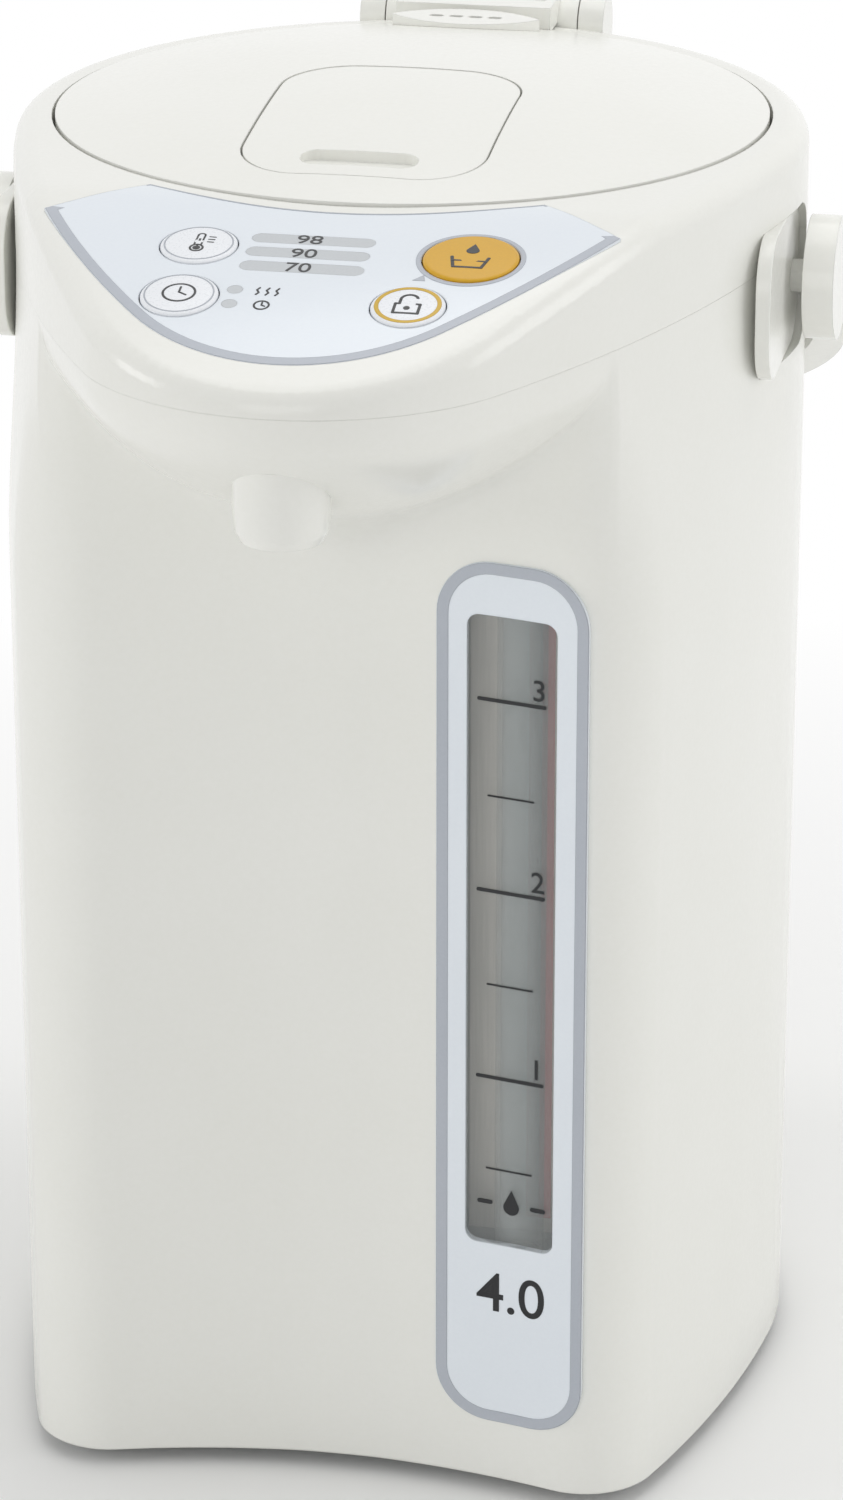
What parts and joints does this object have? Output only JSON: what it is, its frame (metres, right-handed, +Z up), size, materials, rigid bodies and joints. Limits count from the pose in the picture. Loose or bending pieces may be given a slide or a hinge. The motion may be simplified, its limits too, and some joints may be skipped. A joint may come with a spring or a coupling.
{
  "type": "electric thermo pot",
  "caption": "Electric hot-water dispenser with a beak spout over a cup space, hinged lid, bail handle, side level gauge and swivel base.",
  "frame": {"origin": "centre of the swivel base's flat underside, on the axis of the round water container", "axes": "+Z up, the spout points to -Y, +X is the side of the water gauge"},
  "size_m": [0.2122, 0.2986, 0.3322],
  "materials": {
    "white_gloss": "glossy moulded plastic, slightly warm white",
    "white_lid": "glossy moulded plastic, slightly warm white",
    "panel_white": "printed film, cool white with a grey border",
    "key_white": "white key with a grey ring",
    "key_yellow": "amber yellow key",
    "lens_grey": "light grey lamp lenses",
    "clear": "clear plastic window",
    "glass_tube": "glass tube",
    "steel": "stainless steel",
    "backing_steel": "metallic backing behind the gauge",
    "red_strip": "red level strip",
    "grey_plastic": "light grey plastic",
    "dark_plastic": "black plastic",
    "silicone": "silicone rubber",
    "dark_rubber": "anti-slip rubber",
    "board_green": "circuit board",
    "copper_brass": "contacts",
    "heater_grey": "heater plate and band",
    "zinc": "plated steel",
    "insulation": "insulation"
  },
  "bodies": {
    "base": {"swivel_base": "white_gloss", "anti_slip_ring": "dark_rubber", "swivel_clip": "zinc"},
    "pot": {"bottom_plate": "grey_plastic", "bottom_screws": "zinc", "outer_case": "white_gloss", "gauge_panel": "panel_white", "gauge_window": "clear", "gauge_tube": "glass_tube", "gauge_backing": "backing_steel", "gauge_strip": "red_strip", "inlet_socket": "dark_plastic", "inlet_pins": "copper_brass", "power_board": "board_green", "board_posts": "grey_plastic", "shoulder_ring": "white_gloss", "control_panel": "panel_white", "indicator_lenses": "lens_grey", "control_board": "board_green", "key_switches": "dark_plastic", "inner_container": "steel", "container_seal": "silicone", "insulation_sleeve": "insulation", "container_stand": "grey_plastic", "band_heater": "heater_grey", "plate_heater": "heater_grey", "thermistor": "zinc", "pump_housing": "grey_plastic", "pump_motor": "zinc", "delivery_hose": "silicone", "outlet_elbow": "silicone", "tip_over_valve": "grey_plastic", "spout_pipe": "silicone", "spout_nozzle": "white_gloss", "hinge_pin": "zinc", "handle_mount_left": "white_gloss", "handle_mount_right": "white_gloss"},
    "lid": {"lid_shell": "white_lid", "lid_base": "white_lid", "lid_steam_pipe": "grey_plastic", "lid_inner_plate": "steel", "lid_gasket": "silicone", "lid_hinge_arm": "white_lid", "steam_vent_cover": "white_lid"},
    "dispense_key": {"dispense_key": "key_yellow"},
    "unlock_key": {"unlock_key": "key_white"},
    "keep_warm_key": {"keep_warm_key": "key_white"},
    "timer_key": {"timer_key": "key_white"},
    "drive_magnet": {"drive_magnet": "dark_plastic"},
    "impeller": {"impeller": "grey_plastic"},
    "tip_weight": {"tip_valve_weight": "steel"},
    "lid_lever": {"lid_lever": "white_lid"},
    "lid_latch": {"lid_latch": "grey_plastic"},
    "lid_release": {"lid_release_slide": "white_lid"},
    "bail": {"bail_handle": "white_gloss"}
  },
  "joints": [
    {"name": "swivel", "type": "hinge", "parent": "base", "child": "pot", "pos_m": [0, 0, 0], "axis": [0, 0, 1], "continuous": true},
    {"name": "lid_hinge", "type": "hinge", "parent": "pot", "child": "lid", "pos_m": [0, 0.099, 0.3205], "axis": [-1, 0, 0], "range_deg": [0, 95]},
    {"name": "lid_lever_pull", "type": "hinge", "parent": "lid", "child": "lid_lever", "pos_m": [0, 0.0003, 0.3307], "axis": [-1, 0, 0], "range_deg": [0, 12], "stiffness_Nm_per_rad": 0.06, "springref_deg": -11.46},
    {"name": "lid_latch_slide", "type": "slide", "parent": "lid", "child": "lid_latch", "axis": [0, 1, 0], "range_m": [0, 0.003]},
    {"name": "lid_release_push", "type": "slide", "parent": "lid", "child": "lid_release", "axis": [0, -1, 0], "range_m": [0, 0.0025], "stiffness_N_per_m": 300},
    {"name": "bail_swing", "type": "hinge", "parent": "pot", "child": "bail", "pos_m": [0, -0.005, 0.287], "axis": [1, 0, 0], "range_deg": [0, 118]},
    {"name": "pump_drive", "type": "hinge", "parent": "pot", "child": "drive_magnet", "pos_m": [0.03, -0.045, 0.028], "axis": [0, 0, 1], "continuous": true},
    {"name": "impeller_spin", "type": "hinge", "parent": "pot", "child": "impeller", "pos_m": [0.03, -0.045, 0.036], "axis": [0, 0, 1], "continuous": true},
    {"name": "tip_weight_slide", "type": "slide", "parent": "pot", "child": "tip_weight", "axis": [0, 0, 1], "range_m": [0, 0.006]},
    {"name": "dispense_key_press", "type": "slide", "parent": "pot", "child": "dispense_key", "axis": [0, 0.1974, -0.9803], "range_m": [0, 0.001], "stiffness_N_per_m": 800},
    {"name": "unlock_key_press", "type": "slide", "parent": "pot", "child": "unlock_key", "axis": [0, 0.2572, -0.9664], "range_m": [0, 0.001], "stiffness_N_per_m": 800},
    {"name": "keep_warm_key_press", "type": "slide", "parent": "pot", "child": "keep_warm_key", "axis": [0, 0.1985, -0.9801], "range_m": [0, 0.001], "stiffness_N_per_m": 800},
    {"name": "timer_key_press", "type": "slide", "parent": "pot", "child": "timer_key", "axis": [0, 0.258, -0.9662], "range_m": [0, 0.001], "stiffness_N_per_m": 800}
  ],
  "couplings": [
    {"joint": "lid_latch_slide", "follows": "lid_lever_pull", "m_per_rad": 0.0143},
    {"joint": "impeller_spin", "follows": "pump_drive", "ratio": 1}
  ]
}
